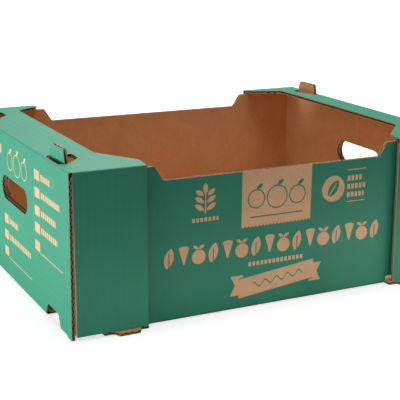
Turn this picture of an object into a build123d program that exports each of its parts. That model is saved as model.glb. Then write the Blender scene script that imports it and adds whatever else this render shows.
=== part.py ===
from build123d import *
import os
from math import radians, tan

# A stacking tray for produce, folded and glued from one die-cut sheet of corrugated board.
# Sizes are in millimetres. +X runs along the long walls, +Z is up, and the origin is the
# middle of the underside.

# The board and how it folds
board = 4.0                  # thickness of the corrugated board
fold_inner_radius = 1.0      # inside radius of every fold
fold_outer_radius = 2.0      # outside radius; the board is crushed where it bends
lap_gap = 0.5                # air between two layers that lie on each other
slit = 0.5                   # width of a cut that parts two panels

# Overall sizes
tray_length = 500.0          # over the outer faces of the end walls
wall_spread = 365.0          # over the outer faces of the long walls
tray_height = 182.5          # from the underside to the top fold of the end walls

# Lowered middle of the long walls
low_edge_drop = 21.0         # from the top fold down to its edge
low_edge_setback = 109.5     # from the end wall's outer face to the foot of a slope
slope_run = 11.0             # length of a slope, along the wall
slope_top_radius = 12.0      # rounding where a slope meets the shoulder
slope_foot_radius = 5.0      # rounding where a slope meets the low edge

# Inner end flaps
flap_standoff = 8.0          # gap between a flap and the end wall at the tray's corner
flap_slant_width = 120.5     # from the long wall to where a flap lies on the end wall

# Ledges, gussets and corner panels
ledge_width = 50.0           # from the end wall's outer face to the ledge's inner edge
spring_angle = 5.5           # degrees that ledge and gusset rise towards their inner edge
gusset_root = 55.0           # from the end wall's side edge to the start of the gusset
gusset_tip_width = 19.0      # width of a gusset at its narrow end
gusset_tip_radius = 5.0      # rounding of the gusset's tip
gusset_root_radius = 12.0    # rounding between ledge and gusset
corner_panel_width = 82.0    # width of a corner panel, along the long wall
corner_panel_gap = 3.5       # air between its top and the long wall
corner_panel_splay = 4.0     # how far its foot stands out beyond its top

# Feet
foot_setback = 63.0          # from the end wall's outer face to the middle of a foot
foot_width = 53.0            # width under the corner panel
foot_shoulder_reach = 9.0    # how far this wide part stands out of the long wall
foot_shoulder_radius = 2.0   # rounding of its outer corners
toe_root_width = 32.0        # width of the toe where it leaves the wide part
toe_tip_width = 24.0         # width of the toe at its outer edge
toe_reach = 17.5             # how far the toe stands out of the long wall
toe_radius = 3.0             # rounding of the toe's corners

# Hand holes
hand_hole_length = 100.0
hand_hole_height = 30.0
hand_hole_drop = 68.5        # from the top fold down to a hole's middle

# Stacking tabs, with the slots they pass through and the notches that take them
tab_setback = 59.0           # from the end wall's side edge to the middle of a tab
tab_root_width = 42.0
tab_top_width = 34.0
tab_height = 15.0            # how far a tab stands above the top fold
tab_corner_radius = 2.5
notch_flare = 4.0            # room on each side of a tab at the mouth of its notch
notch_side_play = 1.0        # room on each side of a tab's top
notch_top_play = 1.0         # room above a tab's top
notch_top_radius = 6.0
notch_depth = 17.0           # how far a notch reaches in from the end wall's outer face
slot_side_play = 4.0         # room on each side of a tab in its slot
slot_lip = 2.5               # from the end wall's outer face to the slot
slot_reach = 29.0            # from the end wall's outer face to the slot's inner edge
slot_inner_width = 20.0      # width of a slot at its inner edge
slot_corner_radius = 3.5

# Places that follow from these sizes
fold_room = fold_inner_radius + board  # from a fold's outer corner to the flat board
end_x = tray_length / 2
wall_y = wall_spread / 2
side_y = wall_y + corner_panel_gap + board
shoulder_height = tray_height - board - lap_gap
low_edge_height = tray_height - low_edge_drop
low_x = end_x - low_edge_setback
flap_end_x = end_x - board - lap_gap
flap_contact_y = wall_y - flap_slant_width
corner_x = end_x - board - flap_standoff
wall_end_x = corner_x - fold_room - board
bottom_fold_y = wall_y - fold_room
roof_start = tray_height - 2 * fold_room
panel_outer_x = end_x - board - slit
panel_inner_x = panel_outer_x - corner_panel_width
panel_foot = board + slit
ledge_inner_x = end_x - ledge_width
gusset_root_y = side_y - gusset_root
gusset_tip_y = side_y - gusset_tip_width
roof_reach = side_y - gusset_root_y + ledge_width
rise = tan(radians(spring_angle))
tab_y = side_y - tab_setback
tab_top = tray_height + tab_height
beyond = 10.0                # overshoot of the cutting shapes
mitre_reach = roof_reach + beyond


def bent_section(outer_corners, side):
    """Cross-section of folded board, from the corners of its outer face."""
    outer_line = Polyline(*outer_corners)
    both_faces = offset(outer_line, amount=board, side=side, kind=Kind.INTERSECTION)
    section = make_face(both_faces.edges())
    for corner in outer_corners[1:-1]:
        inner_vertex = section.vertices().sort_by_distance(Vector(*corner))[1]
        section = fillet(inner_vertex, fold_inner_radius)
        outer_vertex = section.vertices().sort_by_distance(Vector(*corner))[0]
        section = fillet(outer_vertex, fold_outer_radius)
    return section


def outline(corners, roundings):
    """Flat shape through the corners. Roundings are pairs of a corner's number and a radius."""
    shape = make_face(Polyline(*corners, close=True))
    for number, radius in roundings:
        vertex = shape.vertices().sort_by_distance(Vector(*corners[number]))[0]
        shape = fillet(vertex, radius)
    return shape


def prism(plane, shape, low, high):
    """The flat shape, drawn on a plane, made solid between two distances from the plane."""
    return extrude(plane.offset(low) * shape, high - low)


def both_sides(solid):
    """A solid and its mirror image on the other side of the long middle plane."""
    return solid + mirror(solid, about=Plane.XZ)


def both_ends(solid):
    """A solid and its mirror image at the tray's other end."""
    return solid + mirror(solid, about=Plane.YZ)


# Bottom panel and long walls, one U-shaped bend from end to end
long_walls = prism(
    Plane.YZ,
    bent_section(
        [(-wall_y, shoulder_height), (-wall_y, 0), (wall_y, 0), (wall_y, shoulder_height)],
        Side.LEFT,
    ),
    -wall_end_x,
    wall_end_x,
)
low_edge = outline(
    [
        (-low_x - slope_run, tray_height),
        (-low_x - slope_run, shoulder_height),
        (-low_x, low_edge_height),
        (low_x, low_edge_height),
        (low_x + slope_run, shoulder_height),
        (low_x + slope_run, tray_height),
    ],
    [
        (1, slope_top_radius),
        (2, slope_foot_radius),
        (3, slope_foot_radius),
        (4, slope_top_radius),
    ],
)
long_walls -= prism(Plane.XZ, low_edge, -side_y, side_y)

# Feet: the part of each long wall that stays flat, and the opening it leaves in the wall
foot_middle = end_x - foot_setback


def foot_outline(start, edge):
    """Shape of a foot, from a starting line over the long wall's outer edge to the toe."""
    shoulder = edge + foot_shoulder_reach
    tip = edge + toe_reach
    return outline(
        [
            (foot_middle - foot_width / 2, start),
            (foot_middle - foot_width / 2, shoulder),
            (foot_middle - toe_root_width / 2, shoulder),
            (foot_middle - toe_tip_width / 2, tip),
            (foot_middle + toe_tip_width / 2, tip),
            (foot_middle + toe_root_width / 2, shoulder),
            (foot_middle + foot_width / 2, shoulder),
            (foot_middle + foot_width / 2, start),
        ],
        [
            (1, foot_shoulder_radius),
            (2, toe_radius),
            (3, toe_radius),
            (4, toe_radius),
            (5, toe_radius),
            (6, foot_shoulder_radius),
        ],
    )


foot_opening = prism(Plane.XZ, foot_outline(-beyond, 0), bottom_fold_y, side_y)
long_walls -= both_ends(both_sides(foot_opening))
feet = both_ends(both_sides(prism(Plane.XY, foot_outline(bottom_fold_y, wall_y), 0, board)))

# End wall, folded up from the bottom panel
folded_wall = bent_section(
    [(end_x, roof_start), (end_x, 0), (wall_end_x, 0)],
    Side.RIGHT,
)
straight_wall = make_face(
    Polyline(
        (end_x, roof_start),
        (end_x, 0),
        (end_x - board, 0),
        (end_x - board, roof_start),
        close=True,
    )
)
end_wall = prism(Plane.XZ, folded_wall, -bottom_fold_y, bottom_fold_y)
end_wall += both_sides(prism(Plane.XZ, straight_wall, bottom_fold_y, side_y))

# Plan of the ledge with its two gussets
roof_plan = outline(
    [
        (end_x, -side_y - beyond),
        (end_x, side_y + beyond),
        (panel_inner_x, side_y + beyond),
        (panel_inner_x, gusset_tip_y),
        (ledge_inner_x, gusset_root_y),
        (ledge_inner_x, -gusset_root_y),
        (panel_inner_x, -gusset_tip_y),
        (panel_inner_x, -side_y - beyond),
    ],
    [
        (3, gusset_tip_radius),
        (4, gusset_root_radius),
        (5, gusset_root_radius),
        (6, gusset_tip_radius),
    ],
)
roof_prism = prism(Plane.XY, roof_plan, 0, tray_height + ledge_width)

# The mitre runs inward at 45 degrees from the corner, between the ledge and the gusset
gusset_side = make_face(
    Polyline(
        (end_x - fold_room, side_y - fold_room),
        (end_x - fold_room, side_y + beyond),
        (end_x - mitre_reach, side_y + beyond),
        (end_x - mitre_reach, side_y - mitre_reach),
        close=True,
    )
)
ledge_side = make_face(
    Polyline(
        (end_x - fold_room, side_y - fold_room),
        (end_x, side_y - fold_room),
        (end_x, side_y - mitre_reach),
        (end_x - mitre_reach, side_y - mitre_reach),
        close=True,
    )
)
over_gusset = prism(Plane.XY, gusset_side, roof_start, tray_height + ledge_width)
over_ledge = prism(Plane.XY, ledge_side, roof_start, tray_height + ledge_width)

# Ledge, folded in from the top of the end wall
ledge_section = bent_section(
    [
        (end_x - roof_reach, tray_height + rise * roof_reach),
        (end_x, tray_height),
        (end_x, roof_start),
    ],
    Side.RIGHT,
)
ledge = prism(Plane.XZ, ledge_section, -side_y, side_y) & roof_prism
ledge -= both_sides(over_gusset)

# Slots in the ledge for the tabs
slot = outline(
    [
        (end_x - slot_lip, tab_y - tab_root_width / 2),
        (end_x - slot_lip, tab_y + tab_root_width / 2),
        (corner_x, tab_y + tab_root_width / 2 + slot_side_play),
        (end_x - slot_reach, tab_y + slot_inner_width / 2),
        (end_x - slot_reach, tab_y - slot_inner_width / 2),
        (corner_x, tab_y - tab_root_width / 2 - slot_side_play),
    ],
    [(number, slot_corner_radius) for number in range(6)],
)
ledge -= both_sides(
    prism(Plane.XY, slot, tray_height - fold_room, tray_height + ledge_width)
)

# Gusset and corner panel, folded over and down outside the long wall
gusset_section = bent_section(
    [
        (side_y - roof_reach, tray_height + rise * roof_reach),
        (side_y, tray_height),
        (side_y + corner_panel_splay, panel_foot),
    ],
    Side.RIGHT,
)
corner_panel = prism(Plane.YZ, gusset_section, panel_inner_x, panel_outer_x) & roof_prism
corner_panel -= over_ledge

# Inner end flap, folded from the long wall, with its stacking tab
flap_section = bent_section(
    [
        (wall_end_x, wall_y),
        (corner_x, wall_y),
        (flap_end_x, flap_contact_y),
        (flap_end_x, slit / 2),
    ],
    Side.RIGHT,
)
flap_outline = outline(
    [
        (0, fold_room),
        (side_y, fold_room),
        (side_y, shoulder_height),
        (tab_y + tab_root_width / 2, shoulder_height),
        (tab_y + tab_top_width / 2, tab_top),
        (tab_y - tab_top_width / 2, tab_top),
        (tab_y - tab_root_width / 2, shoulder_height),
        (0, shoulder_height),
    ],
    [(4, tab_corner_radius), (5, tab_corner_radius)],
)
flap = prism(Plane.XY, flap_section, fold_room, tab_top)
flap &= prism(Plane.YZ, flap_outline, wall_end_x, end_x)

# Hand hole and stacking notches, through the end wall and the flaps
hand_hole_level = tray_height - hand_hole_drop
hand_hole = Pos(0, hand_hole_level) * SlotOverall(hand_hole_length, hand_hole_height)
notch_mouth = tab_root_width + 2 * notch_flare
notch_top = tab_top_width + 2 * notch_side_play
notch_height = tab_height + notch_top_play
notch = outline(
    [
        (tab_y - notch_mouth / 2, -beyond),
        (tab_y - notch_mouth / 2, 0),
        (tab_y - notch_top / 2, notch_height),
        (tab_y + notch_top / 2, notch_height),
        (tab_y + notch_mouth / 2, 0),
        (tab_y + notch_mouth / 2, -beyond),
    ],
    [(2, notch_top_radius), (3, notch_top_radius)],
)
hand_hole_cut = prism(Plane.YZ, hand_hole, corner_x - fold_room, end_x + beyond)
notch_cut = prism(Plane.YZ, notch, end_x - notch_depth, end_x + beyond)

# The whole sheet as one piece
tray_end = end_wall + ledge + both_sides(corner_panel) + both_sides(flap)
tray_end -= hand_hole_cut
tray_end -= both_sides(notch_cut)
tray = long_walls + feet + both_ends(tray_end)
tray = tray.clean()

os.makedirs("parts", exist_ok=True)
export_step(tray, "parts/tray.step")
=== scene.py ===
"""A produce tray of corrugated board: printed liner, bare kraft liner and the fluting between."""

import functools
import math

import bmesh
import bpy
from bpy.props import FloatProperty, FloatVectorProperty, PointerProperty
from mathutils import Matrix, Vector
from mathutils.bvhtree import BVHTree


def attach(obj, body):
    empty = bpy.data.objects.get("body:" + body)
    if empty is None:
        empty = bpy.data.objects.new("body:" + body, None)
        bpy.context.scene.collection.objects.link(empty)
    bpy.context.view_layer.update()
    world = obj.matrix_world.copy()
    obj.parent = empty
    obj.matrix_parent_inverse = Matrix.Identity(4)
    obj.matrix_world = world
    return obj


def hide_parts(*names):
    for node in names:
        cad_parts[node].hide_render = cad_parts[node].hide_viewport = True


bl_info = {
    "name": "Corrugated stacking tray",
    "version": (1, 0, 0),
    "blender": (4, 5, 0),
    "location": "View3D > Sidebar > Tray",
    "description": "Dresses a folded tray with its liners, fluting, print and light",
    "category": "Add Mesh",
}

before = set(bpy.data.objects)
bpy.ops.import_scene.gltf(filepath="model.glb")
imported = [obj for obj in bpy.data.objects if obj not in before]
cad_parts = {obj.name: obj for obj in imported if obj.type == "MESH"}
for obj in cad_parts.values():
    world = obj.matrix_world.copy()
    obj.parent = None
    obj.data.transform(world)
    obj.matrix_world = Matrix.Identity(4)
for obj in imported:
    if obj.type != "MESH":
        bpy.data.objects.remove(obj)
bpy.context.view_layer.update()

MM = 0.001

# How far the fluting runs past a cut edge, a ray starts under a face and the floor lies under
# the tray
HAIR = 0.2 * MM

# How much wider a ledge's fluting is than the ledge, and a slot's cut is than the tab
SPARE = 3 * MM

# Places of a liner's materials: its rims, its back, which is painted dark as shade inside the flutes,
# and the prints or the paper of its face
RIM, BACK, WALL_FACE, END_FACE, PLAIN_FACE = range(5)
KRAFT_FACE = 2

# Height of the two low cards in front, and their place along Y
CARD_HIGH = 0.012
CARD_FRONT = -0.31

# Name, place, target, width and height, and watts of each soft light
LAMPS = (
    ("left_card", (-1.2, 0.0, 0.1), (0.0, 0.0, 0.1), (1.2, 0.2), 15.0),
    ("left_window", (-1.3, 0.1, 0.45), (-0.25, 0.0, 0.1), (0.9, 0.9), 1.9),
    ("top", (0.0, 0.0, 1.6), (0.0, 0.0, 0.0), (1.0, 1.0), 21.5),
    ("top_back", (0.3, 1.1, 1.4), (0.0, 0.0, 0.1), (1.0, 1.0), 18.1),
    ("fill", (0.9, -0.9, 0.35), (0.2, -0.18, 0.05), (0.6, 0.6), 0.4),
    ("front_card", (0.05, CARD_FRONT, CARD_HIGH), (0.05, 0.0, CARD_HIGH), (0.7, 0.02), 0.13),
    ("right_card", (0.3, CARD_FRONT, CARD_HIGH), (0.3, 0.0, CARD_HIGH), (0.3, 0.02), 0.14),
)

# The camera's place in metres, its turn in degrees, and its lens and sensor in millimetres
CAMERA_PLACE = (-0.58921, -1.14807, 0.43443)
CAMERA_TURN = (74.566, -0.701, -26.826)
CAMERA_LENS = 92.9
CAMERA_SENSOR = 36.0


class TraySizes(bpy.types.PropertyGroup):
    """Sizes of the board and of the folded tray"""

    board: FloatProperty(
        name="Board", description="Thickness of the board", default=0.004, unit="LENGTH"
    )
    liner: FloatProperty(
        name="Liner", description="Thickness of a liner", default=0.0005, unit="LENGTH"
    )
    medium: FloatProperty(
        name="Medium", description="Thickness of the fluted paper", default=0.0005, unit="LENGTH"
    )
    flute_pitch: FloatProperty(
        name="Flute pitch", description="From flute to flute", default=0.0078, unit="LENGTH"
    )
    half_length: FloatProperty(
        name="Half length",
        description="From the middle to an end wall's outer face",
        default=0.25,
        unit="LENGTH",
    )
    half_spread: FloatProperty(
        name="Half spread",
        description="From the middle to a long wall's outer face",
        default=0.1825,
        unit="LENGTH",
    )
    half_width: FloatProperty(
        name="Half width",
        description="From the middle to a corner panel's outer face",
        default=0.19,
        unit="LENGTH",
    )
    height: FloatProperty(
        name="Height", description="Height of the end walls", default=0.1825, unit="LENGTH"
    )
    splay: FloatProperty(
        name="Splay",
        description="How far the corner panels stand out at their foot",
        default=0.004,
        unit="LENGTH",
    )
    tab_top: FloatProperty(
        name="Tab top", description="Height of the stacking tabs", default=0.1975, unit="LENGTH"
    )
    ledge: FloatProperty(
        name="Ledge", description="Width of a ledge", default=0.05, unit="LENGTH"
    )
    spring: FloatProperty(
        name="Spring",
        description="Rise of the ledges towards their inner edge",
        default=math.radians(5.5),
        subtype="ANGLE",
    )
    fold: FloatProperty(
        name="Fold",
        description="From a fold's outer corner to the flat board",
        default=0.005,
        unit="LENGTH",
    )
    lap: FloatProperty(
        name="Lap",
        description="Gap between two glued layers",
        default=0.0005,
        unit="LENGTH",
    )
    half_wall: FloatProperty(
        name="Half wall",
        description="From the middle to where a long wall folds into its end flaps",
        default=0.229,
        unit="LENGTH",
    )
    foot_reach: FloatProperty(
        name="Foot reach",
        description="From the middle to a foot's outer edge",
        default=0.2,
        unit="LENGTH",
    )
    panel_near: FloatProperty(
        name="Panel near",
        description="From the middle to a corner panel's free edge",
        default=0.1635,
        unit="LENGTH",
    )
    panel_far: FloatProperty(
        name="Panel far",
        description="From the middle to a corner panel's edge behind the end wall",
        default=0.2455,
        unit="LENGTH",
    )
    panel_low: FloatProperty(
        name="Panel low",
        description="Height of a corner panel's lower edge",
        default=0.0045,
        unit="LENGTH",
    )
    gusset: FloatProperty(
        name="Gusset",
        description="How far a gusset reaches in from its fold, before its edge is cut",
        default=0.055,
        unit="LENGTH",
    )
    tab_near: FloatProperty(
        name="Tab near",
        description="From the middle to a stacking tab's near side",
        default=0.110,
        unit="LENGTH",
    )
    tab_far: FloatProperty(
        name="Tab far",
        description="From the middle to a stacking tab's far side",
        default=0.152,
        unit="LENGTH",
    )
    flap_root: FloatProperty(
        name="Flap root",
        description="From the middle to an end flap's outer face at the long wall",
        default=0.238,
        unit="LENGTH",
    )
    flap_bend: FloatProperty(
        name="Flap bend",
        description="From the middle to where an end flap meets the end wall",
        default=0.062,
        unit="LENGTH",
    )
    flap_end: FloatProperty(
        name="Flap end",
        description="From the middle to an end flap's free end",
        default=0.00025,
        unit="LENGTH",
    )
    slot_middle: FloatProperty(
        name="Slot middle",
        description="From the middle to a tab slot's middle",
        default=0.2391,
        unit="LENGTH",
    )
    slot_width: FloatProperty(
        name="Slot width",
        description="Width of a tab slot",
        default=0.0082,
        unit="LENGTH",
    )


class TrayColours(bpy.types.PropertyGroup):
    """Colours of the paper and the ink"""

    ink: FloatVectorProperty(
        name="Ink",
        description="Green ink on the outer liner",
        size=3,
        subtype="COLOR",
        default=(0.025, 0.244, 0.147),
    )
    kraft: FloatVectorProperty(
        name="Kraft",
        description="Bare inner liner",
        size=3,
        subtype="COLOR",
        default=(0.620, 0.335, 0.155),
    )
    # Painted light: the bare liner of the long walls is made paler than on the end walls, to make up
    # for the shade on the long walls.
    bare_wall_painted_light: FloatVectorProperty(
        name="Bare wall",
        description="Outer liner of the long walls where the ink leaves it bare",
        size=3,
        subtype="COLOR",
        default=(0.780, 0.450, 0.235),
    )
    # Painted shade: the same bare liner is made darker on the end walls, to hold down the strong light
    # on them.
    bare_end_painted_shade: FloatVectorProperty(
        name="Bare end",
        description="Outer liner of the end walls where the ink leaves it bare",
        size=3,
        subtype="COLOR",
        default=(0.600, 0.370, 0.210),
    )
    cut_edge: FloatVectorProperty(
        name="Cut edge",
        description="Cut edges of the liners and of the fluted paper",
        size=3,
        subtype="COLOR",
        default=(0.640, 0.400, 0.240),
    )
    # Painted shade: the paper inside the flutes is made dark to stand for the shade in the flute
    # cavities.
    painted_flute_shade: FloatVectorProperty(
        name="Hollow",
        description="Paper inside the flutes",
        size=3,
        subtype="COLOR",
        default=(0.200, 0.095, 0.048),
    )


def sizes():
    return bpy.context.scene.tray_sizes


def colours():
    return bpy.context.scene.tray_colours


def select_only(obj):
    """Leaves nothing else selected, and makes the object active."""
    bpy.ops.object.select_all(action="DESELECT")
    obj.select_set(True)
    bpy.context.view_layer.objects.active = obj


def apply_modifier(obj, kind, **settings):
    """Adds a modifier with these settings and applies it."""
    select_only(obj)
    modifier = obj.modifiers.new(kind.title(), kind)
    for name, value in settings.items():
        setattr(modifier, name, value)
    bpy.ops.object.modifier_apply(modifier=modifier.name)


def select_vertices(obj, test):
    """In edit mode, selects the vertices whose place passes the test."""
    mesh = bmesh.from_edit_mesh(obj.data)
    for vertex in mesh.verts:
        vertex.select_set(test(vertex.co))
    mesh.select_flush_mode()
    bmesh.update_edit_mesh(obj.data)


def folded_sheet(name):
    """A merged copy of the tray's one solid, in the tray's own place."""
    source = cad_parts["tray"]
    mesh = source.data.copy()
    mesh.transform(source.matrix_world)
    mesh.materials.clear()
    copy = bpy.data.objects.new(name, mesh)
    bpy.context.scene.collection.objects.link(copy)
    select_only(copy)
    if mesh.has_custom_normals:
        bpy.ops.mesh.customdata_custom_splitnormals_clear()
    bpy.ops.object.mode_set(mode="EDIT")
    bpy.ops.mesh.select_all(action="SELECT")
    bpy.ops.mesh.remove_doubles(threshold=1e-6)
    bpy.ops.object.mode_set(mode="OBJECT")
    return copy


def flat_side(face, tree):
    """1 on the sheet's outer side, -1 on its inner side, and 0 on a fold or a cut edge."""
    board = sizes().board
    depth, slack, opposed = 0.05, 0.15, -0.7
    place, normal = face.calc_center_median(), face.normal
    start = place - normal * board * depth
    hit, opposite, _, distance = tree.ray_cast(start, -normal, board * 1.2)
    if hit is None or opposite.dot(normal) > opposed:
        return 0
    if abs(distance - board * (1 - depth)) > board * slack:
        return 0
    up = 1 if place.z > sizes().height / 2 else -1
    outward = Vector((math.copysign(1, place.x), math.copysign(1, place.y), up))
    return 1 if outward.dot(normal) > 0 else -1


def is_thin(face, tree):
    """Whether the sheet ends close behind the face, as it doesn't behind a long cut edge."""
    start = face.calc_center_median() - face.normal * HAIR
    reach = sizes().board * 6
    return tree.ray_cast(start, -face.normal, reach)[0] is not None


def sheet_sides(mesh):
    """The side of each face. A fold takes the side of the flat faces that it runs into."""
    tree = BVHTree.FromBMesh(mesh)
    sides = [flat_side(face, tree) for face in mesh.faces]
    waiting = [face for face in mesh.faces if sides[face.index]]
    smooth = math.cos(math.radians(50))
    level = math.cos(math.radians(0.8))
    while waiting:
        face = waiting.pop()
        for other in {near for edge in face.edges for near in edge.link_faces}:
            turn = face.normal.dot(other.normal)
            if sides[other.index] or turn < smooth:
                continue
            if turn > level or is_thin(other, tree):
                sides[other.index] = sides[face.index]
                waiting.append(other)
    return sides


def keep_side(obj, side):
    """Deletes every face that isn't on this side of the sheet."""
    bpy.ops.object.mode_set(mode="EDIT")
    mesh = bmesh.from_edit_mesh(obj.data)
    mesh.normal_update()
    mesh.faces.index_update()
    sides = sheet_sides(mesh)
    for face in mesh.faces:
        face.select_set(sides[face.index] != side)
    bmesh.update_edit_mesh(obj.data)
    bpy.ops.mesh.delete(type="FACE")
    bpy.ops.object.mode_set(mode="OBJECT")


def hand_over(piece):
    """Declares a finished piece of the tray."""
    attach(piece, "root")
    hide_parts("tray")


class Field:
    """A number that varies over a surface, kept as a socket of a material's nodes."""

    def __init__(self, tree, socket):
        self.tree = tree
        self.socket = socket

    def join(self, operation, *others):
        node = self.tree.nodes.new("ShaderNodeMath")
        node.operation = operation
        for place, value in enumerate((self,) + others):
            if isinstance(value, Field):
                self.tree.links.new(value.socket, node.inputs[place])
            else:
                node.inputs[place].default_value = value
        return Field(self.tree, node.outputs[0])

    def __add__(self, other):
        return self.join("ADD", other)

    def __sub__(self, other):
        return self.join("SUBTRACT", other)

    def __mul__(self, other):
        return self.join("MULTIPLY", other)

    def __abs__(self):
        return self.join("ABSOLUTE")

    def either(self, other):
        return self.join("MINIMUM", other)

    def both(self, other):
        return self.join("MAXIMUM", other)

    def without(self, other):
        return self.join("MAXIMUM", other * -1.0)

    def ring(self, width):
        return abs(self) - width / 2

    def inside(self):
        return self.join("LESS_THAN", 0.0)


class Plan:
    """A wall's printed face, in millimetres: u runs to the right seen from outside, v up."""

    def __init__(self, tree, u, v):
        self.tree = tree
        self.u = u
        self.v = v
        node = tree.nodes.new("ShaderNodeCombineXYZ")
        tree.links.new(u.socket, node.inputs[0])
        tree.links.new(v.socket, node.inputs[1])
        self.point = node.outputs[0]

    def vector(self, operation, socket, constant=(0.0, 0.0, 0.0)):
        node = self.tree.nodes.new("ShaderNodeVectorMath")
        node.operation = operation
        self.tree.links.new(socket, node.inputs[0])
        node.inputs[1].default_value = constant
        return node

    def disc(self, u, v, radius):
        node = self.vector("DISTANCE", self.point, (u, v, 0.0))
        return Field(self.tree, node.outputs["Value"]) - radius

    def leaf(self, u, v, length, width, angle):
        """A pointed leaf with its middle at u, v, and its tip turned this many degrees from up."""
        bend = (length * length / 4 + width * width / 4) / width
        reach = bend - width / 2
        across = math.radians(angle)
        du, dv = reach * math.cos(across), -reach * math.sin(across)
        return self.disc(u + du, v + dv, bend).both(self.disc(u - du, v - dv, bend))

    def box(self, left, right, low, high):
        middle = ((left + right) / 2, (low + high) / 2, 0.0)
        half = ((right - left) / 2, (high - low) / 2, 0.0)
        moved = self.vector("SUBTRACT", self.point, middle)
        size = self.vector("ABSOLUTE", moved.outputs[0])
        over = self.vector("SUBTRACT", size.outputs[0], half)
        split = self.tree.nodes.new("ShaderNodeSeparateXYZ")
        self.tree.links.new(over.outputs[0], split.inputs[0])
        return Field(self.tree, split.outputs[0]).both(Field(self.tree, split.outputs[1]))

    def blocks(self, left, right, low, high, pitch, gap):
        """A row of small blocks, as wide as the pitch less the gap."""
        cell = (self.u - left).join("FLOORED_MODULO", pitch)
        return self.box(left, right, low, high).both(cell - (pitch - gap))


def any_of(shapes):
    """The shapes as one."""
    return functools.reduce(Field.either, shapes)


def fruit_trio(plan, u, v, line):
    """Three round fruits in outline, each with a leaf."""
    marks = []
    for du, radius in ((-27.0, 10.5), (0.0, 13.0), (27.0, 10.5)):
        marks.append(plan.disc(u + du, v, radius).ring(line))
        marks.append(plan.leaf(u + du + 4.0, v + radius + 3.6, 10.0, 4.4, 55.0))
    return any_of(marks)


def pinked_patch(plan):
    """A bare patch down from the rim, pinked along its foot, with fruits and a rule on it."""
    left, right, foot = -44.3, 46.9, 95.6
    teeth = plan.u.join("PINGPONG", 2.35) * 0.8
    patch = plan.box(left, right, 60.0, 200.0).both(plan.v * -1.0 + teeth + foot)
    rule = plan.box(-33.0, 35.6, 106.6, 108.2)
    return patch.without(fruit_trio(plan, 1.3, 128.5, 1.5).either(rule))


def sprig(plan):
    """A stem with three pairs of leaves and one at its tip, over a row of blocks."""
    u = -90.0
    marks = [plan.box(u - 0.7, u + 0.7, 119.0, 142.0), plan.leaf(u, 147.2, 13.0, 6.0, 0.0)]
    for v, length in ((126.5, 14.0), (135.0, 13.0), (143.0, 11.0)):
        for side in (-1.0, 1.0):
            marks.append(plan.leaf(u + side * 7.2, v, length, 5.6, side * 58.0))
    marks.append(plan.blocks(-106.0, -73.5, 110.0, 114.5, 5.0, 1.6))
    return any_of(marks)


def leaf_badge(plan):
    """A disc with a leaf left in ink, beside rows of blocks between two rules."""
    u, v, tilt = 77.5, 129.0, 35.0
    rib = plan.leaf(u - 1.0, v - 1.4, 22.0, 1.6, tilt)
    leaf = plan.leaf(u, v, 23.0, 12.0, tilt).without(rib)
    marks = [plan.disc(u, v, 15.5).without(leaf)]
    left = 97.0
    for right, middle in ((118.0, 139.5), (122.5, 129.5), (121.0, 119.5)):
        marks.append(plan.blocks(left, right, middle - 3.0, middle + 3.0, 5.4, 1.7))
    for level in (111.2, 149.6):
        marks.append(plan.box(left, 122.5, level - 0.5, level + 0.5))
    return any_of(marks)


def produce_row(plan):
    """Leaves, roots and fruits by turns, over a row of blocks."""
    left, right, pitch, kinds = -143.0, 148.2, 18.2, 3.0
    cell = (plan.u - left).join("FLOORED_MODULO", pitch) - pitch / 2
    count = ((plan.u - left) * (1.0 / pitch)).join("FLOOR")
    kind = count.join("FLOORED_MODULO", kinds)
    small = Plan(plan.tree, cell, plan.v)
    leaf = small.leaf(0.0, 72.6, 23.6, 11.4, 14.0).without(small.box(-0.7, 0.7, 60.0, 78.0))
    root = small.box(-9.0, 9.0, 61.0, 84.4)
    root = root.both(abs(cell) - (small.v - 61.0) * 0.30)
    root = root.both(small.disc(0.0, 74.0, 10.6))
    fruit = [small.disc(0.0, 70.0, 8.4)]
    for side in (-1.0, 1.0):
        fruit.append(small.leaf(side * 3.6, 81.4, 8.0, 3.6, side * 60.0))
    away = 50.0
    turns = enumerate((leaf, root, any_of(fruit)))
    row = any_of([shape + abs(kind - float(turn)) * away for turn, shape in turns])
    row = row.both(plan.box(left, right, 60.6, 84.6))
    return row.either(plan.blocks(-34.0, 39.6, 49.6, 54.6, 5.3, 1.7))


def banner(plan):
    """A rising ribbon with two folded tails and a wavy line left in ink."""
    slope, half_height, half_length = 0.1157, 11.4, 49.8
    axis = plan.v - (plan.u - 3.5) * slope - 29.6
    ends = abs(plan.u - 3.7) - half_length
    body = (abs(axis) - half_height).both(ends)
    around = (abs(axis) - half_height - 1.3).both(ends)
    left_tail = plan.box(-57.0, -40.5, 16.6, 40.2)
    left_tail = left_tail.both((abs(plan.v - 28.8) * 0.52 + plan.u + 51.0) * -1.0)
    right_tail = plan.box(48.0, 64.3, 19.8, 42.0)
    right_tail = right_tail.both(plan.u - abs(plan.v - 30.8) * 0.5 - 58.9)
    tails = left_tail.either(right_tail).without(around)
    wave = (plan.u * 0.42).join("SINE") * 3.1
    line = (abs(axis - wave) - 0.9).both(abs(plan.u - 6.0) - 33.0)
    return body.without(line).either(tails)


def wall_artwork(plan):
    """Bare areas of a long wall's print: below zero where the ink is left out."""
    parts = (pinked_patch, sprig, leaf_badge, produce_row, banner)
    return any_of([part(plan) for part in parts])


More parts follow.
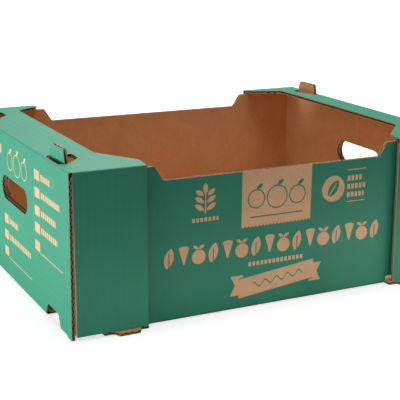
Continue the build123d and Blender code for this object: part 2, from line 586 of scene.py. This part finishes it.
def end_artwork(plan):
    """Bare areas of an end wall's print: fruits, and squares with blocks or a line to write on."""
    square, block, rule = 5.7, 3.6, 0.5
    marks = [fruit_trio(plan, 12.5, 150.0, 1.2)]
    # Left, right and middle height of each square, and where its row of blocks ends
    rows = (
        (78.5, 95.5, 157.0, 130.0),
        (78.0, 95.0, 136.8, 160.0),
        (77.0, 94.0, 115.8, 147.0),
        (76.0, 93.0, 95.8, 151.0),
        (75.0, 92.0, 74.5, None),
        (-43.5, -29.0, 74.4, 10.0),
        (-45.0, -30.0, 53.7, 58.0),
        (-47.0, -32.0, 32.2, None),
    )
    for left, right, v, last in rows:
        marks.append(plan.box(left, right, v - square, v + square))
        if last is not None:
            marks.append(plan.blocks(right + 5.0, last, v - block, v + block, 6.4, 2.0))
    for left, right, v in ((93.0, 166.5, 68.4), (-31.0, 58.0, 25.5)):
        marks.append(plan.box(left, right, v - rule, v + rule))
    marks.append(plan.box(-62.0, -48.0, 153.6, 164.6))
    return any_of(marks)


def new_material(name):
    material = bpy.data.materials.new(name)
    material.use_nodes = True
    tree = material.node_tree
    tree.nodes.clear()
    output = tree.nodes.new("ShaderNodeOutputMaterial")
    shader = tree.nodes.new("ShaderNodeBsdfPrincipled")
    tree.links.new(shader.outputs[0], output.inputs[0])
    return material, tree, shader


def coordinates(tree):
    """Object coordinates in millimetres, as one vector and three fields."""
    texture = tree.nodes.new("ShaderNodeTexCoord")
    scale = tree.nodes.new("ShaderNodeVectorMath")
    scale.operation = "MULTIPLY"
    scale.inputs[1].default_value = (1 / MM, 1 / MM, 1 / MM)
    tree.links.new(texture.outputs["Object"], scale.inputs[0])
    split = tree.nodes.new("ShaderNodeSeparateXYZ")
    tree.links.new(scale.outputs[0], split.inputs[0])
    return scale.outputs[0], [Field(tree, split.outputs[axis]) for axis in range(3)]


def noise(tree, vector, size, stretch=(1.0, 1.0, 1.0), detail=3.0):
    """Noise from 0 to 1 with spots about this many millimetres wide."""
    mapping = tree.nodes.new("ShaderNodeMapping")
    mapping.inputs["Scale"].default_value = [1.0 / (size * part) for part in stretch]
    tree.links.new(vector, mapping.inputs["Vector"])
    node = tree.nodes.new("ShaderNodeTexNoise")
    node.inputs["Scale"].default_value = 1.0
    node.inputs["Detail"].default_value = detail
    tree.links.new(mapping.outputs[0], node.inputs["Vector"])
    return Field(tree, node.outputs[0])


def mix(tree, factor, first, second):
    """Colour between two, each a colour or a socket."""
    node = tree.nodes.new("ShaderNodeMix")
    node.data_type = "RGBA"
    tree.links.new(factor.socket, node.inputs[0])
    for value, place in ((first, 6), (second, 7)):
        if isinstance(value, bpy.types.NodeSocket):
            tree.links.new(value, node.inputs[place])
        else:
            node.inputs[place].default_value = tuple(value) + (1.0,)
    return node.outputs[2]


def shade(colour, factor):
    return tuple(min(1.0, part * factor) for part in colour)


def paper_colour(tree, vector, base):
    """Kraft paper: cloudy, with long fibres and a few dark flecks."""
    cloud = noise(tree, vector, 30.0, detail=2.0)
    tone = mix(tree, cloud, shade(base, 0.86), shade(base, 1.14))
    fibre = noise(tree, vector, 1.1, (1.0, 1.0, 5.0), 2.0).join("MULTIPLY_ADD", 2.2, -0.8)
    tone = mix(tree, fibre.join("MULTIPLY", 0.30), tone, shade(base, 0.62))
    fleck = noise(tree, vector, 1.6, (1.0, 1.0, 1.8), 1.0).join("GREATER_THAN", 0.72)
    return mix(tree, fleck * 0.55, tone, shade(base, 0.40))


def facing(tree):
    """How much a face looks along X, Y and Z, each from 0 to 1."""
    texture = tree.nodes.new("ShaderNodeTexCoord")
    split = tree.nodes.new("ShaderNodeSeparateXYZ")
    tree.links.new(texture.outputs["Normal"], split.inputs[0])
    return [abs(Field(tree, split.outputs[axis])) for axis in range(3)]


def ridges(tree, position):
    """Height of the washboard: upright on the long walls, level on the ends."""
    x, y, z = position
    look_x, look_y, look_z = facing(tree)
    wave = 2 * math.pi * MM / sizes().flute_pitch
    upright = (x * wave).join("SINE")
    level = (z * wave).join("SINE")
    long_side = look_y.join("GREATER_THAN", 0.7)
    end_side = look_x.join("GREATER_THAN", 0.7)
    flat = look_z.join("GREATER_THAN", 0.7)
    return upright * long_side.join("MAXIMUM", flat) + level * end_side


def add_bump(tree, shader, height, distance):
    node = tree.nodes.new("ShaderNodeBump")
    node.inputs["Strength"].default_value = 1.0
    node.inputs["Distance"].default_value = distance
    tree.links.new(height.socket, node.inputs["Height"])
    tree.links.new(node.outputs[0], shader.inputs["Normal"])


def paper_material(name, base, ridged=False):
    """Unprinted paper; a liner also shows the flutes under it."""
    material, tree, shader = new_material(name)
    vector, position = coordinates(tree)
    colour = paper_colour(tree, vector, base)
    tree.links.new(colour, shader.inputs["Base Color"])
    height = noise(tree, vector, 0.8, (1.0, 1.0, 3.0), 3.0) * 0.5
    if ridged:
        height = height + ridges(tree, position) * 0.35
    add_bump(tree, shader, height, 0.00012)
    shader.inputs["Roughness"].default_value = 0.82
    shader.inputs["Specular IOR Level"].default_value = 0.25
    return material


def print_material(name, artwork, face):
    """Kraft liner with a flood coat of ink and the areas that the ink leaves bare."""
    material, tree, shader = new_material(name)
    vector, position = coordinates(tree)
    x, y, z = position
    # The long walls take the paler copy of the bare liner, which is painted light, and the end walls
    # take the darker copy, which is painted shade.
    bare = colours().bare_wall_painted_light if face == "wall" else colours().bare_end_painted_shade
    paper = paper_colour(tree, vector, bare)
    ink = colours().ink
    cloud = noise(tree, vector, 45.0, detail=2.0)
    ink_tone = mix(tree, cloud, shade(ink, 0.93), shade(ink, 1.07))
    mottle = noise(tree, vector, 1.4, detail=2.0)
    ink_tone = mix(tree, mottle * 0.35, ink_tone, shade(ink, 0.80))
    if artwork is None:
        colour = ink_tone
    else:
        if face == "wall":
            u = x * (y.join("SIGN") * -1.0)
        else:
            u = y * x.join("SIGN")
        plan = Plan(tree, u, z)
        colour = mix(tree, artwork(plan).inside(), ink_tone, paper)
    tree.links.new(colour, shader.inputs["Base Color"])
    grain = noise(tree, vector, 0.9, detail=3.0)
    height = grain * 0.4 + ridges(tree, position) * 0.45
    add_bump(tree, shader, height, 0.00010)
    shader.inputs["Roughness"].default_value = 0.55
    shader.inputs["Specular IOR Level"].default_value = 0.35
    return material


class TRAY_OT_liners(bpy.types.Operator):
    """Adds the printed outer liner and the bare inner liner"""

    bl_idname = "tray.liners"
    bl_label = "Liners"

    def execute(self, context):
        # The second edge material, on the liners' backs and the fluting, is paper painted dark as
        # shade inside the flutes.
        edges = [
            paper_material("cut_edge", colours().cut_edge),
            paper_material("painted_flute_shade", colours().painted_flute_shade),
        ]
        prints = [
            print_material("wall_print", wall_artwork, "wall"),
            print_material("end_print", end_artwork, "end"),
            print_material("plain_print", None, ""),
        ]
        outer = self.liner("printed_liner", 1, edges + prints)
        for face in outer.data.polygons:
            face.material_index = self.print_of(face)
        kraft = paper_material("bare_kraft", colours().kraft, ridged=True)
        inner = self.liner("kraft_liner", -1, edges + [kraft])
        for face in inner.data.polygons:
            face.material_index = KRAFT_FACE
        for liner in (outer, inner):
            self.thicken(liner)
            select_only(liner)
            bpy.ops.object.shade_smooth_by_angle(angle=math.radians(30))
            hand_over(liner)
        return {"FINISHED"}

    def liner(self, name, side, materials):
        """The faces on one side of the sheet, with these materials."""
        liner = folded_sheet(name)
        keep_side(liner, side)
        for material in materials:
            liner.data.materials.append(material)
        return liner

    def print_of(self, face):
        """Where the print for a face of the outer liner stands among the materials."""
        size = sizes()
        straight = 0.95
        if abs(face.normal.y) > straight and abs(face.center.y) < size.half_spread + size.lap:
            return WALL_FACE
        if abs(face.normal.x) > straight and abs(face.center.x) > size.half_length - size.lap:
            return END_FACE
        return PLAIN_FACE

    def thicken(self, liner):
        """Gives a liner its thickness. The new faces are first its back, then its rims."""
        count = len(liner.data.polygons)
        apply_modifier(
            liner, "SOLIDIFY", thickness=sizes().liner, offset=-1.0, use_even_offset=True
        )
        for number, face in enumerate(liner.data.polygons):
            if number >= 2 * count:
                face.material_index = RIM
            elif number >= count:
                face.material_index = BACK


def one_flute():
    """One wave of the fluted paper, a metre long, that runs along Y."""
    pitch = sizes().flute_pitch
    top = (sizes().board - 2 * sizes().liner - sizes().medium) / 2
    steps = 8
    bpy.ops.mesh.primitive_grid_add(x_subdivisions=steps, y_subdivisions=1, size=1.0)
    flute = bpy.context.object
    flute.name = "one_flute"
    bpy.ops.object.mode_set(mode="EDIT")
    bpy.ops.mesh.select_all(action="SELECT")
    bpy.ops.transform.resize(value=(pitch, 1.0, 1.0))
    for step in range(steps + 1):
        column = (step / steps - 0.5) * pitch
        select_vertices(flute, lambda co: abs(co.x - column) < pitch / 50)
        rise = top * math.sin(2 * math.pi * step / steps)
        bpy.ops.transform.translate(value=(0.0, 0.0, rise))
    bpy.ops.object.mode_set(mode="OBJECT")
    return flute


def flute_panel(template, origin, across, along, width, length):
    """Flutes side by side over one panel, thick as paper, in the middle of the board.

    The origin is the panel's corner, the waves follow each other across it, and each runs along.
    """
    count = max(1, round(width / sizes().flute_pitch))
    panel = template.copy()
    panel.data = template.data.copy()
    bpy.context.scene.collection.objects.link(panel)
    apply_modifier(
        panel,
        "ARRAY",
        count=count,
        relative_offset_displace=(1.0, 0.0, 0.0),
        use_merge_vertices=True,
        merge_threshold=1e-6,
    )
    apply_modifier(panel, "SOLIDIFY", thickness=sizes().medium, offset=0.0)
    pitch = sizes().flute_pitch
    fit = Matrix.Diagonal((width / (count * pitch), length, 1.0, 1.0))
    start = Matrix.Translation((width / count / 2, length / 2, 0.0))
    across = Vector(across).normalized()
    along = Vector(along).normalized()
    normal = across.cross(along)
    turn = Matrix((across, along, normal)).transposed().to_4x4()
    panel.data.transform(Matrix.Translation(origin) @ turn @ start @ fit)
    return panel


def cut_by_plane(obj, point, normal):
    """Takes away what lies on the plane's side that the normal points to, and closes the cut."""
    select_only(obj)
    bpy.ops.object.mode_set(mode="EDIT")
    bpy.ops.mesh.select_all(action="SELECT")
    bpy.ops.mesh.bisect(
        plane_co=point, plane_no=normal, use_fill=True, clear_outer=True, clear_inner=False
    )
    bpy.ops.object.mode_set(mode="OBJECT")


def join_panels(panels, name):
    """One object made of all the panels."""
    select_only(panels[0])
    for panel in panels:
        panel.select_set(True)
    bpy.ops.object.join()
    joined = bpy.context.object
    joined.name = name
    return joined


def trim_to_sheet(fluting):
    """Keeps what lies inside the folded sheet. The fluting is paper painted dark as shade in the
    flutes, and the cuts take the cut edge's material.
    """
    fluting.data.materials.clear()
    fluting.data.materials.append(bpy.data.materials["painted_flute_shade"])
    sheet = folded_sheet("sheet_for_trimming")
    sheet.data.materials.append(bpy.data.materials["cut_edge"])
    apply_modifier(
        fluting,
        "BOOLEAN",
        operation="INTERSECT",
        object=sheet,
        solver="EXACT",
        use_self=True,
        material_mode="TRANSFER",
    )
    bpy.data.objects.remove(sheet)


class TRAY_OT_fluting(bpy.types.Operator):
    """Adds the fluted paper between the liners, which shows at every cut edge"""

    bl_idname = "tray.fluting"
    bl_label = "Fluting"

    def execute(self, context):
        template = one_flute()
        panels = []

        def add(*args):
            panels.append(flute_panel(template, *args))
            return panels[-1]

        self.add_bottom(add)
        for way in (-1, 1):
            self.add_long_wall(add, way)
            self.add_end_wall(add, way)
            self.add_ledge(add, way)
            for hand in (-1, 1):
                self.add_gusset(add, way, hand)
                self.add_corner_panel(add, way, hand)
                self.add_end_flap(add, way, hand)
        fluting = join_panels(panels, "fluted_medium")
        trim_to_sheet(fluting)
        bpy.data.objects.remove(template)
        select_only(fluting)
        bpy.ops.object.shade_smooth_by_angle(angle=math.radians(50))
        hand_over(fluting)
        return {"FINISHED"}

    def add_bottom(self, add):
        size = sizes()
        reach_x = size.half_length - size.fold
        reach_y = size.foot_reach + HAIR
        corner = (-reach_x, -reach_y, size.board / 2)
        add(corner, (1, 0, 0), (0, 1, 0), 2 * reach_x, 2 * reach_y)

    def shoulder(self):
        """Height of the long walls' shoulders and of the end flaps, under the roof."""
        return sizes().height - sizes().board - sizes().lap + HAIR

    def add_long_wall(self, add, way):
        size = sizes()
        corner = (-size.half_wall, way * (size.half_spread - size.board / 2), size.fold)
        add(corner, (1, 0, 0), (0, 0, 1), 2 * size.half_wall, self.shoulder() - size.fold)

    def add_end_wall(self, add, way):
        """An end wall's flutes lie level, so they follow each other upwards."""
        size = sizes()
        reach = size.half_width + HAIR
        corner = (way * (size.half_length - size.board / 2), -reach, size.liner)
        high = size.height - size.fold - size.liner
        add(corner, (0, 0, 1), (0, 1, 0), high, 2 * reach)

    def add_ledge(self, add, way):
        """The ledge's fluting, cut at the mitres where the gussets begin, and at the tab slots."""
        size = sizes()
        spring = size.spring
        start = Vector((way * (size.half_length - size.fold), -size.half_width, self.roof_start()))
        ledge = add(
            start,
            (-way * math.cos(spring), 0, math.sin(spring)),
            (0, 1, 0),
            (size.ledge + SPARE - size.fold) / math.cos(spring),
            2 * size.half_width,
        )
        for hand in (-1, 1):
            corner = (way * size.half_length, hand * size.half_width, 0.0)
            cut_by_plane(ledge, corner, (-way, hand, 0.0))
            self.cut_slot(ledge, way, hand)

    def roof_start(self):
        """Height of the middle of the board where a sprung ledge leaves its fold."""
        size = sizes()
        return size.height + math.tan(size.spring) * size.fold - size.board / 2 / math.cos(size.spring)

    def cut_slot(self, ledge, way, hand):
        """Clears a ledge's fluting where a tab comes through."""
        size = sizes()
        middle = (way * size.slot_middle, hand * (size.tab_near + size.tab_far) / 2, size.height)
        length = size.tab_far - size.tab_near + SPARE
        bpy.ops.mesh.primitive_cube_add(size=1.0, location=middle)
        block = bpy.context.object
        bpy.ops.transform.resize(value=(size.slot_width, length, 6 * size.board))
        apply_modifier(ledge, "BOOLEAN", operation="DIFFERENCE", object=block, solver="EXACT")
        bpy.data.objects.remove(block)

    def add_gusset(self, add, way, hand):
        """A gusset's fluting, cut at the mitre where the ledge begins."""
        size = sizes()
        near, far = size.panel_near - HAIR, size.panel_far + HAIR
        edge = hand * (size.half_width - size.fold)
        gusset = add(
            Vector((way * near, edge, self.roof_start())),
            (way, 0, 0),
            (0, -hand * math.cos(size.spring), math.sin(size.spring)),
            far - near,
            size.gusset,
        )
        corner = (way * size.half_length, hand * size.half_width, 0.0)
        cut_by_plane(gusset, corner, (way, -hand, 0.0))

    def add_corner_panel(self, add, way, hand):
        """A corner panel's fluting, which leans out towards its foot."""
        size = sizes()
        near, far = size.panel_near - HAIR, size.panel_far + HAIR
        middle = size.half_width - size.board / 2
        foot = Vector((way * near, hand * (middle + size.splay), size.panel_low - HAIR))
        top = Vector((way * near, hand * middle, size.height))
        lean = top - foot
        add(foot, (way, 0, 0), lean, far - near, lean.length - size.fold)

    def add_end_flap(self, add, way, hand):
        """An end flap's fluting: its slant from the long wall, with the tab, and its flat end."""
        size = sizes()
        half = size.board / 2
        low, shoulder = size.fold, self.shoulder()
        flat = way * (size.half_length - size.board - size.lap - half)
        root = Vector((way * (size.flap_root - half), hand * size.half_spread, low))
        bend = Vector((flat, hand * size.flap_bend, low))
        end = Vector((flat, hand * size.flap_end, low))
        slant = (bend - root).normalized()
        tab_near, tab_far = size.tab_near - HAIR, size.tab_far + HAIR
        for begin, stop, high in (
            (size.half_spread - size.fold, tab_far, shoulder),
            (tab_far, tab_near, size.tab_top + HAIR),
            (tab_near, size.flap_bend, shoulder),
        ):
            where = root + slant * ((size.half_spread - begin) / abs(slant.y))
            width = (begin - stop) / abs(slant.y)
            add(where, slant, (0, 0, 1), width, high - low)
        add(bend, end - bend, (0, 0, 1), (end - bend).length, shoulder - low)


def floor_material():
    """Pale grey to the light, and white in the picture but for the tray's shadow."""
    material = bpy.data.materials.new("pale_floor")
    material.use_nodes = True
    tree = material.node_tree
    tree.nodes.clear()
    output = tree.nodes.new("ShaderNodeOutputMaterial")
    paint = tree.nodes.new("ShaderNodeBsdfDiffuse")
    paint.inputs["Color"].default_value = (0.5, 0.5, 0.5, 1.0)
    glow = tree.nodes.new("ShaderNodeEmission")
    texture = tree.nodes.new("ShaderNodeTexCoord")
    distance = tree.nodes.new("ShaderNodeVectorMath")
    distance.operation = "LENGTH"
    level = tree.nodes.new("ShaderNodeMapRange")
    for name, value in (("From Min", 0.4), ("From Max", 1.6), ("To Min", 0.68), ("To Max", 1.0)):
        level.inputs[name].default_value = value
    tree.links.new(texture.outputs["Object"], distance.inputs[0])
    tree.links.new(distance.outputs["Value"], level.inputs["Value"])
    tree.links.new(level.outputs[0], glow.inputs["Strength"])
    both = tree.nodes.new("ShaderNodeAddShader")
    path = tree.nodes.new("ShaderNodeLightPath")
    switch = tree.nodes.new("ShaderNodeMixShader")
    tree.links.new(paint.outputs[0], both.inputs[0])
    tree.links.new(glow.outputs[0], both.inputs[1])
    tree.links.new(path.outputs["Is Camera Ray"], switch.inputs[0])
    tree.links.new(paint.outputs[0], switch.inputs[1])
    tree.links.new(both.outputs[0], switch.inputs[2])
    tree.links.new(switch.outputs[0], output.inputs[0])
    return material


def studio_world():
    """A dim room that is white where the camera sees it, and a little bright in reflections."""
    world = bpy.data.worlds.new("studio")
    world.use_nodes = True
    tree = world.node_tree
    tree.nodes.clear()
    output = tree.nodes.new("ShaderNodeOutputWorld")
    room = tree.nodes.new("ShaderNodeBackground")
    room.inputs["Color"].default_value = (1.0, 1.0, 1.0, 1.0)
    room.inputs["Strength"].default_value = 0.05
    backdrop = tree.nodes.new("ShaderNodeBackground")
    backdrop.inputs["Color"].default_value = (1.0, 1.0, 1.0, 1.0)
    backdrop.inputs["Strength"].default_value = 1.0
    path = tree.nodes.new("ShaderNodeLightPath")
    shine = tree.nodes.new("ShaderNodeMath")
    shine.operation = "MULTIPLY"
    shine.inputs[1].default_value = 0.15
    seen = tree.nodes.new("ShaderNodeMath")
    seen.operation = "MAXIMUM"
    switch = tree.nodes.new("ShaderNodeMixShader")
    tree.links.new(path.outputs["Is Glossy Ray"], shine.inputs[0])
    tree.links.new(path.outputs["Is Camera Ray"], seen.inputs[0])
    tree.links.new(shine.outputs[0], seen.inputs[1])
    tree.links.new(seen.outputs[0], switch.inputs[0])
    tree.links.new(room.outputs[0], switch.inputs[1])
    tree.links.new(backdrop.outputs[0], switch.inputs[2])
    tree.links.new(switch.outputs[0], output.inputs[0])
    return world


class TRAY_OT_stage(bpy.types.Operator):
    """Adds the floor, the lights and the camera"""

    bl_idname = "tray.stage"
    bl_label = "Stage"

    def execute(self, context):
        bpy.ops.mesh.primitive_plane_add(size=40.0, location=(0.0, 0.0, -HAIR))
        floor = bpy.context.object
        floor.name = "floor"
        floor.data.materials.append(floor_material())
        context.scene.world = studio_world()
        for lamp in LAMPS:
            self.add_lamp(*lamp)
        self.add_camera(context.scene)
        context.scene.view_settings.view_transform = "Standard"
        return {"FINISHED"}

    def add_lamp(self, name, place, target, size, power):
        """A soft light, this wide and high, that looks at the target and isn't seen itself."""
        lamp = bpy.data.lights.new(name, "AREA")
        lamp.shape = "RECTANGLE"
        lamp.size, lamp.size_y = size
        lamp.energy = power
        holder = bpy.data.objects.new(name, lamp)
        bpy.context.scene.collection.objects.link(holder)
        holder.location = place
        aim = Vector(target) - Vector(place)
        holder.rotation_euler = aim.to_track_quat("-Z", "Y").to_euler()
        holder.visible_camera = False

    def add_camera(self, scene):
        camera = bpy.data.cameras.new("camera")
        camera.lens = CAMERA_LENS
        camera.sensor_width = CAMERA_SENSOR
        camera.clip_start = 0.01
        holder = bpy.data.objects.new("camera", camera)
        scene.collection.objects.link(holder)
        holder.location = CAMERA_PLACE
        holder.rotation_euler = [math.radians(part) for part in CAMERA_TURN]
        scene.camera = holder


class TRAY_PT_panel(bpy.types.Panel):
    """Lists the tray's sizes, colours and steps"""

    bl_idname = "TRAY_PT_panel"
    bl_label = "Stacking tray"
    bl_space_type = "VIEW_3D"
    bl_region_type = "UI"
    bl_category = "Tray"

    def draw(self, context):
        for group in (context.scene.tray_sizes, context.scene.tray_colours):
            for name in group.__annotations__:
                self.layout.prop(group, name)
        for operator in (TRAY_OT_liners, TRAY_OT_fluting, TRAY_OT_stage):
            self.layout.operator(operator.bl_idname)


CLASSES = (
    TraySizes,
    TrayColours,
    TRAY_OT_liners,
    TRAY_OT_fluting,
    TRAY_OT_stage,
    TRAY_PT_panel,
)


def register():
    for cls in CLASSES:
        bpy.utils.register_class(cls)
    bpy.types.Scene.tray_sizes = PointerProperty(type=TraySizes)
    bpy.types.Scene.tray_colours = PointerProperty(type=TrayColours)


def unregister():
    del bpy.types.Scene.tray_colours
    del bpy.types.Scene.tray_sizes
    for cls in reversed(CLASSES):
        bpy.utils.unregister_class(cls)


def main():
    register()
    bpy.ops.tray.liners()
    bpy.ops.tray.fluting()
    bpy.ops.tray.stage()


if __name__ == "__main__":
    main()
